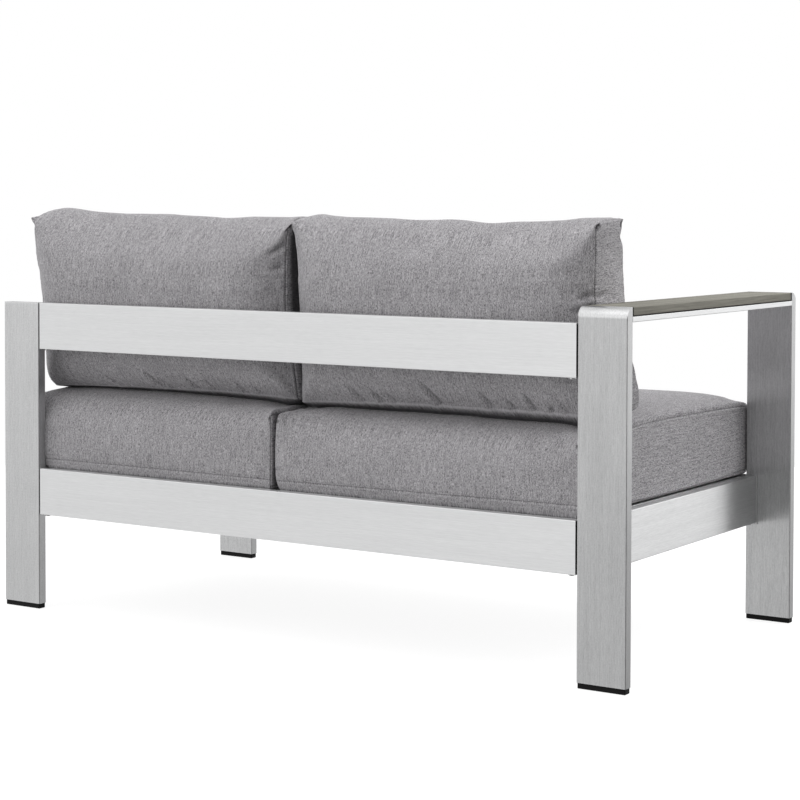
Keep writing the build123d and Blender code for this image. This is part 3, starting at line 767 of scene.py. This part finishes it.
def dress(c, wave, pucker, creases, ears=(), holes=(), shade=None):
    """Adds what sewing and use leave on the cloth: waves, puckers along the seams, creases, seam grooves and ears.
    An ear is (place on the cushion, pull in mm, reach), a hole is (place, depth, reach), both near a corner where three panels meet."""
    me = c.ob.data
    co, no = coords(me) * 1000.0, normals(me)
    W, D, H = c.size
    if "back" in c.name:
        lowest = smooth01(1 - c.p[:, 2] / c.hem) ** 0.8
        inward = np.where(c.p[:, 1] > D / 2, -1.0, 1.0) * smooth01(abs(c.p[:, 1] / D - 0.5) * 4)
        co[:, 1] += 12.0 * lowest * inward
    f1, f2, f3 = Field(c.seed * 10 + 1), Field(c.seed * 10 + 2), Field(c.seed * 10 + 3)
    p = c.p
    edge = smooth01(c.d1 / 40.0)
    out = wave * edge * (f1(p / 95.0) + 0.5 * f2(p / 47.0 + 7))
    out += pucker * np.exp(-((c.d1 - 7) / 9.0) ** 2) * (f3(p / 9.0) * 0.7 + f3(p / 17.0 + 5) * 0.6)
    out += 0.7 * pucker * np.exp(-((c.d2 - 6) / 8.0) ** 2) * (f2(p / 10.0 + 3) * 0.7 + f2(p / 21.0) * 0.5)
    painted_shade = np.zeros(len(p))
    for (face, x0, v0, x1, v1, depth, width) in creases:
        if face == "back":
            on, a, b = abs(p[:, 1] - D) < 0.5, p[:, 0], p[:, 2]
        elif face == "front":
            on, a, b = abs(p[:, 1]) < 0.5, p[:, 0], p[:, 2]
        elif face == "left":
            on, a, b = abs(p[:, 0] - W) < 0.5, p[:, 1], p[:, 2]
        elif face == "right":
            on, a, b = abs(p[:, 0]) < 0.5, p[:, 1], p[:, 2]
        else:
            on, a, b = abs(p[:, 2] - H) < 0.5, p[:, 0], p[:, 1]
        dx, dv = x1 - x0, v1 - v0
        L = math.hypot(dx, dv)
        t = ((a - x0) * dx + (b - v0) * dv) / L ** 2
        s = abs((a - x0) * dv - (b - v0) * dx) / L
        side = ((a - x0) * dv - (b - v0) * dx) / L
        fade = np.where(on, smooth01(t / 0.25 + 0.4) * smooth01((1 - t) / 0.55), 0.0) * (t > -0.2) * (t < 1.0)
        # painted shade in the bottom of each crease
        painted_shade = np.maximum(painted_shade, fade * min(1.0, depth / 4.0) * 0.42 * np.exp(-(s / (0.9 * width)) ** 2))
        out += fade * depth * (-np.exp(-(s / width) ** 2) + 0.8 * np.exp(-((side - 1.9 * width) / (1.25 * width)) ** 2) + 0.3 * np.exp(-((side + 2.2 * width) / (1.5 * width)) ** 2))
    out += -1.9 * np.exp(-(c.d1 / 1.5) ** 2) + 0.75 * np.exp(-((c.d1 - 4.2) / 2.3) ** 2)
    if "back" in c.name:
        out += 1.1 * np.exp(-((c.d2 - 0.4) / 1.7) ** 2)
    else:
        out += -1.3 * np.exp(-(c.d2 / 1.5) ** 2) + 0.55 * np.exp(-((c.d2 - 4.0) / 2.2) ** 2)
    if shade is not None:
        # painted shade that the caller passes in for this cushion
        painted_shade = np.maximum(painted_shade, shade(p))
    for at, depth, reach in holes:
        near = np.exp(-(np.linalg.norm(p - np.array(at, float), axis=1) / reach) ** 2)
        out -= depth * near
        # painted shade in and around each hole
        painted_shade = np.maximum(painted_shade, np.clip(near * 1.9 - 0.35, 0, 1))
    co += out[:, None] * no
    for at, pull, reach in ears:
        near = np.exp(-(np.linalg.norm(p - np.array(at, float), axis=1) / reach) ** 2)
        co += near[:, None] * np.array(pull, float)
    c.co2 = co
    # the painted shade is stored for the cloth material
    layer = me.attributes.new("painted_shade", "FLOAT", "POINT")
    layer.data.foreach_set("value", painted_shade.astype(np.float32))
    return co


def random_creases(c, seed, n, where):
    """Short slanting pulls that start at the bottom seam, and level ones that start at the side seams."""
    rng = np.random.default_rng(seed)
    W, D, H = c.size
    out = []
    for _ in range(n):
        if where in ("front", "back"):
            x = rng.uniform(30, W - 30)
            L = rng.uniform(22, 60)
            out.append((where, x, c.hem + 2, x + rng.uniform(-14, 22), c.hem + L, rng.uniform(0.5, 1.5), rng.uniform(3.5, 6.0)))
    for s in (0, 1):
        for _ in range(n // 3):
            z = rng.uniform(30, H - 25)
            L = rng.uniform(18, 42)
            x0, x1 = (2, L) if s == 0 else (W - 2, W - L)
            out.append((where, x0, z, x1, z + rng.uniform(-7, 7), rng.uniform(0.4, 1.1), rng.uniform(3.0, 5.0)))
    return out


for c in CUSHIONS.values():
    subdivide(c)
# folds seen on the back cushions: along the gussets' rear seams, and slanting up from the bottom seams
FOLDS_R = [("back", 1, 226, 42, 215, 4.0, 5.0), ("back", 1, 206, 46, 192, 3.8, 5.4), ("right", 119, 221, 72, 227, 3.0, 4.2), ("right", 119, 199, 36, 190, 4.4, 5.0),
           ("right", 114, 181, 84, 188, 2.6, 4.0), ("back", 318, 9, 352, 68, 4.6, 6.0), ("back", 484, 9, 512, 56, 3.4, 5.6), ("back", 442, 9, 466, 44, 3.8, 4.8),
           ("back", 414, 9, 436, 36, 3.2, 4.6), ("back", 212, 9, 236, 52, 3.4, 5.4), ("back", 168, 9, 182, 34, 3.4, 4.4),
           ("back", 126, 9, 146, 56, 3.6, 5.0), ("back", 90, 9, 100, 32, 3.4, 4.2), ("back", 60, 9, 78, 40, 2.8, 4.2)]
FOLDS_L = [("back", 1, 306, 48, 288, 4.4, 5.4), ("back", 1, 268, 42, 260, 3.0, 4.8), ("back", 450, 11, 486, 52, 2.8, 4.4), ("back", 334, 11, 366, 54, 4.2, 4.4),
           ("back", 316, 11, 333, 38, 2.3, 3.6), ("back", 246, 11, 264, 44, 3.4, 4.2), ("back", 206, 11, 222, 42, 3.0, 4.0), ("back", 131, 11, 146, 38, 3.0, 4.0), ("back", 90, 11, 104, 33, 2.7, 4.0)]
D, H = 120.0, 348.0


def under(p):
    """Painted shade on the strip below the bottom seam, which is always in the cushion's own shade."""
    return 0.5 * smooth01((6.6 - p[:, 2]) / 2.0) + 0.5 * smooth01((5.2 - p[:, 2]) / 4.0)


W = br.size[0]
# painted shade under the bottom seam
dress(br, 1.6, 0.9, FOLDS_R + random_creases(br, 41, 9, "front"),
      ears=[((0, D, H), (-1.5, 1.0, 1.5), 8.0), ((0, 0, H), (-1.4, -1.2, 0.6), 6.0), ((0, 2, H - 30), (0, 2.5, 0), 6.0), ((W, D, H), (0.5, 0.0, -1.0), 9.0)],
      holes=[((0, D - 6.0, H - 6.0), 6.0, 6.6), ((0, D - 14.0, H - 3.0), 3.0, 4.4), ((0, 5.0, H - 9.0), 5.0, 6.0), ((0, 5.0, H - 34.0), 2.2, 5.0)],
      shade=under)
W = bl.size[0]
# painted shade: under the bottom seam, and on the right gusset in the gap towards the right back cushion
dress(bl, 1.6, 0.9, FOLDS_L + random_creases(bl, 42, 9, "front"),
      ears=[((0, D, H), (-1.0, 0.0, -1.0), 8.0), ((W, D, H), (5.0, 1.0, 1.5), 8.0), ((W, 0, H), (3.0, -3.0, 2.0), 8.0)],
      holes=[((0, D - 6.0, H - 9.0), 6.0, 6.6), ((6.0, D, H - 12.0), 3.0, 5.4), ((W - 4.0, D, H - 15.0), 3.5, 4.8)],
      shade=lambda p: np.maximum(under(p), 0.8 * (p[:, 0] < 0.5) * 1.2 * smooth01((D - 7 - p[:, 1]) / 14) * smooth01((p[:, 1] - 30) / 30) * smooth01((H - 8 - p[:, 2]) / 20)))
D = sr.size[1]
for c in (sr, sl):
    W, H = c.size[0], c.size[2]
    low = [("right", y, 8, y + 4, 34, 1.3, 3.4) for y in (250, 262, 275)] + [("back", W - 2, z, W - 26, z + 9, 1.4, 3.4) for z in (34, 66, 92)]
    # painted shade: on the left seat's inner side in the gap near the back, and on the right seat's outer side towards
    # the front leg
    dress(c, 1.1, 0.6, low + random_creases(c, c.seed + 40, 7, "front") + random_creases(c, c.seed + 50, 3, "back"),
          holes=[((4.0, D, H - 6.0), 3.0, 3.4), ((W - 3.0, D, H - 7.0), 3.0, 3.8)],
          shade=lambda p: np.maximum(0.75 * (p[:, 0] < 0.5) * smooth01((D - 3 - p[:, 1]) / 16) * smooth01((p[:, 1] - D + 90) / 40) if c is sl else 0.0,
                                     0.6 * (p[:, 0] < 0.5) * smooth01((82 - p[:, 1]) / 82) if c is sr else 0.0))


def keep_under(v, limit, soft):
    """v, bent so that it stays under limit, starting to give way soft before it."""
    start = limit - soft
    over = np.maximum(v - start, 0.0)
    return np.where(v > start, start + soft * (1 - np.exp(-over / soft)), v)


# seat cushions lie flat on the slats and rails, and stay clear of each other and of the legs
for c in (sr, sl):
    co, p = c.co2, c.p
    W, D, H = c.size
    rest = 284.3 - 3.15 * smooth01((co[:, 1] - 296) / 20) * (1 - smooth01((co[:, 0] - 600) / 8))
    under = p[:, 2] < 0.01
    rim = np.minimum.reduce([p[:, 0], W - p[:, 0], p[:, 1], (D - p[:, 1]) * 1.7])
    co[:, 2] = np.where(under, rest + (co[:, 2] - rest) * np.exp(-((rim / 3.4) ** 2)), co[:, 2])
    co[:, 2] = np.maximum(co[:, 2], rest)
    co[:, 1] = -keep_under(-co[:, 1], 368.0, 3.0)
sr.co2[:, 0] = keep_under(sr.co2[:, 0], 38.6, 3.0)
sl.co2[:, 0] = -keep_under(-sl.co2[:, 0], -39.4, 3.0)
sr.co2[:, 0] = -keep_under(-sr.co2[:, 0], 608.6, 3.0)
for c in (sr, sl):
    set_coords(c.ob.data, c.co2 * 0.001)

# back cushions lean towards the top rail, and their undersides take the shape of the seat cushions below them
for c in (br, bl):
    co = c.co2
    z = co[:, 2]
    co[:, 1] = np.where(z < 640, keep_under(co[:, 1], 340.9, 6.0), keep_under(co[:, 1], 340.9 + 0.4 * np.maximum(z - 640, 0), 6.0))
# neighbours press on each other at most: half way between their seams at each height
def mid_x(z):
    t = np.clip((z - 440.0) / 341.0, 0.0, 1.0)
    return (spline(BR[1]["back"], t)[:, 0] + spline(BL[0]["back"], t)[:, 0]) / 2


br.co2[:, 0] = np.where(br.co2[:, 0] > 0, keep_under(br.co2[:, 0] - mid_x(br.co2[:, 2]), -0.6, 3.0) + mid_x(br.co2[:, 2]), br.co2[:, 0])
bl.co2[:, 0] = np.where(bl.co2[:, 0] < 120, mid_x(bl.co2[:, 2]) - keep_under(mid_x(bl.co2[:, 2]) - bl.co2[:, 0], -0.6, 3.0), bl.co2[:, 0])
seats = BVHTree.FromPolygons(
    [Vector(v) for c in (sr, sl) for v in c.co2.tolist()],
    [tuple(int(a) + off for a in f.vertices) for c, off in ((sr, 0), (sl, len(sr.co2))) for f in c.ob.data.polygons],
)
HEMS = {br.name: [(-612, 2.5), (-450, 2.0), (-300, 1.0), (0, -4.0), (30, -4.5)], bl.name: [(30, -2.5), (120, 0.0), (300, 1.0), (560, 0.5), (690, 0.0)]}
for c in (br, bl):
    co, p = c.co2, c.p
    co[:, 2] += spline(HEMS[c.name], co[:, 0])[:, 0] * (1 - smooth01((p[:, 2] - c.hem) / 80.0))
    # nearer the seat than the hem, the cloth hangs down to the seat and lies on it
    low = np.nonzero(co[:, 2] < 480)[0]
    for v in low:
        hit = seats.ray_cast(Vector((co[v, 0], co[v, 1], 600.0)), Vector((0, 0, -1)))
        if hit[0] is None:
            continue
        base = max(hit[0].z, 428.0) + 0.8
        t = p[v, 2] / c.hem
        w = float(smooth01(min(p[v, 0], c.size[0] - p[v, 0]) / 30.0))
        if t < 1.0:
            co[v, 2] = w * (base + t * max(co[v, 2] + c.hem - p[v, 2] - base, 2.0)) + (1 - w) * max(co[v, 2], base + 2.0 * t)
        elif co[v, 2] < base + 2.0:
            co[v, 2] = base + 2.0
    set_coords(c.ob.data, co * 0.001)

BODY = {
    "back_cushion_right_soft": ("back_cushion_right", "back_cushion_right_cover", "back_cushion_right_filling"),
    "back_cushion_left_soft": ("back_cushion_left", "back_cushion_left_cover", "back_cushion_left_filling"),
    "seat_cushion_right_soft": ("seat_cushion_right", "seat_cushion_right_cover", "seat_cushion_right_foam"),
    "seat_cushion_left_soft": ("seat_cushion_left", "seat_cushion_left_cover", "seat_cushion_left_foam"),
}
for c in CUSHIONS.values():
    ob, me = c.ob, c.ob.data
    me.materials.append(CLOTH)
    me.polygons.foreach_set("use_smooth", np.ones(len(me.polygons), bool))
    me.update()
    body, *nodes = BODY[c.name]
    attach(ob, body)
    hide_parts(*nodes)


# ---------------------------------------------------------------- floor, light
def floor():
    me = bpy.data.meshes.new("floor")
    ring = [(2.6 * math.cos(a), 2.6 * math.sin(a), -0.0005) for a in np.linspace(0, 2 * math.pi, 97)[:-1]]
    me.from_pydata(ring, [], [tuple(range(96))])
    ob = bpy.data.objects.new("floor", me)
    scene.collection.objects.link(ob)
    m, t, p = new_material("floor_pale")
    at = t.node("ShaderNodeTexCoord").outputs["Object"]
    f = t.noise(at, scale=3.0, detail=2.0)
    t.put(p.inputs["Base Color"], t.mix(f, grey(0.24), grey(0.26)))
    p.inputs["Emission Color"].default_value = (1, 1, 1, 1)
    p.inputs["Emission Strength"].default_value = 0.86
    p.inputs["Roughness"].default_value = 0.8
    p.inputs["Specular IOR Level"].default_value = 0.2
    me.materials.append(m)
    ob.visible_diffuse = ob.visible_glossy = ob.visible_transmission = False


floor()

# azimuth from +Y towards +X, height, tightness and level of each soft light
LIGHTS = [(0, -38, 5, 0.53), (90, -38, 5, 1.50), (180, -38, 5, 0.16), (45, 4, 9, 0.49), (135, 4, 9, 0.49), (180, 4, 9, 0.44),
          (0, 38, 7, 0.18), (60, 38, 7, 1.27), (180, 38, 7, 1.0), (-120, 38, 7, 2.15), (-60, 38, 7, 0.48), (0, 90, 6, 1.07),
          (18, 12, 30, 1.56), (18, 45, 20, 0.85), (-150, 5, 20, 1.11)]


def world():
    """A pale studio made of broad soft lights all round. The camera itself sees plain white behind the piece."""
    w = bpy.data.worlds.new("studio")
    scene.world = w
    w.use_nodes = True
    t = Tree(w.node_tree)
    out = t.node("ShaderNodeOutputWorld")
    d = t.node("ShaderNodeTexCoord").outputs["Generated"]
    level = None
    for az, el, tight, k in LIGHTS:
        a, e = math.radians(az), math.radians(el)
        v = (math.sin(a) * math.cos(e), math.cos(a) * math.cos(e), math.sin(e))
        part = t.math("MULTIPLY", t.math("EXPONENT", t.math("MULTIPLY", t.math("SUBTRACT", t.vmath("DOT_PRODUCT", d, v), 1.0), tight)), k)
        level = t.math("ADD", level, part) if level else part
    studio = t.node("ShaderNodeBackground")
    t.put(studio.inputs[1], level)
    studio.inputs[0].default_value = (1, 1, 1, 1)
    plain = t.node("ShaderNodeBackground")
    plain.inputs[0].default_value = (1, 1, 1, 1)
    plain.inputs[1].default_value = 1.0
    mix = t.node("ShaderNodeMixShader")
    t.put(mix.inputs[0], t.node("ShaderNodeLightPath").outputs["Is Camera Ray"])
    t.t.links.new(studio.outputs[0], mix.inputs[1])
    t.t.links.new(plain.outputs[0], mix.inputs[2])
    t.t.links.new(mix.outputs[0], out.inputs[0])


world()


def softbox(name, at, look, size, level):
    """A large soft panel of the given brightness, which the camera doesn't see."""
    data = bpy.data.lights.new(name, "AREA")
    data.shape, data.size, data.size_y = "RECTANGLE", size[0], size[1]
    data.energy = level * math.pi * size[0] * size[1]
    ob = bpy.data.objects.new(name, data)
    ob.location = at
    ob.rotation_euler = (Vector(look) - Vector(at)).to_track_quat("-Z", "Y").to_euler()
    ob.visible_camera = False
    scene.collection.objects.link(ob)


softbox("arm_side", (-2.6, -0.6, 0.9), (0.0, 0.0, 0.5), (1.6, 1.6), 0.45)
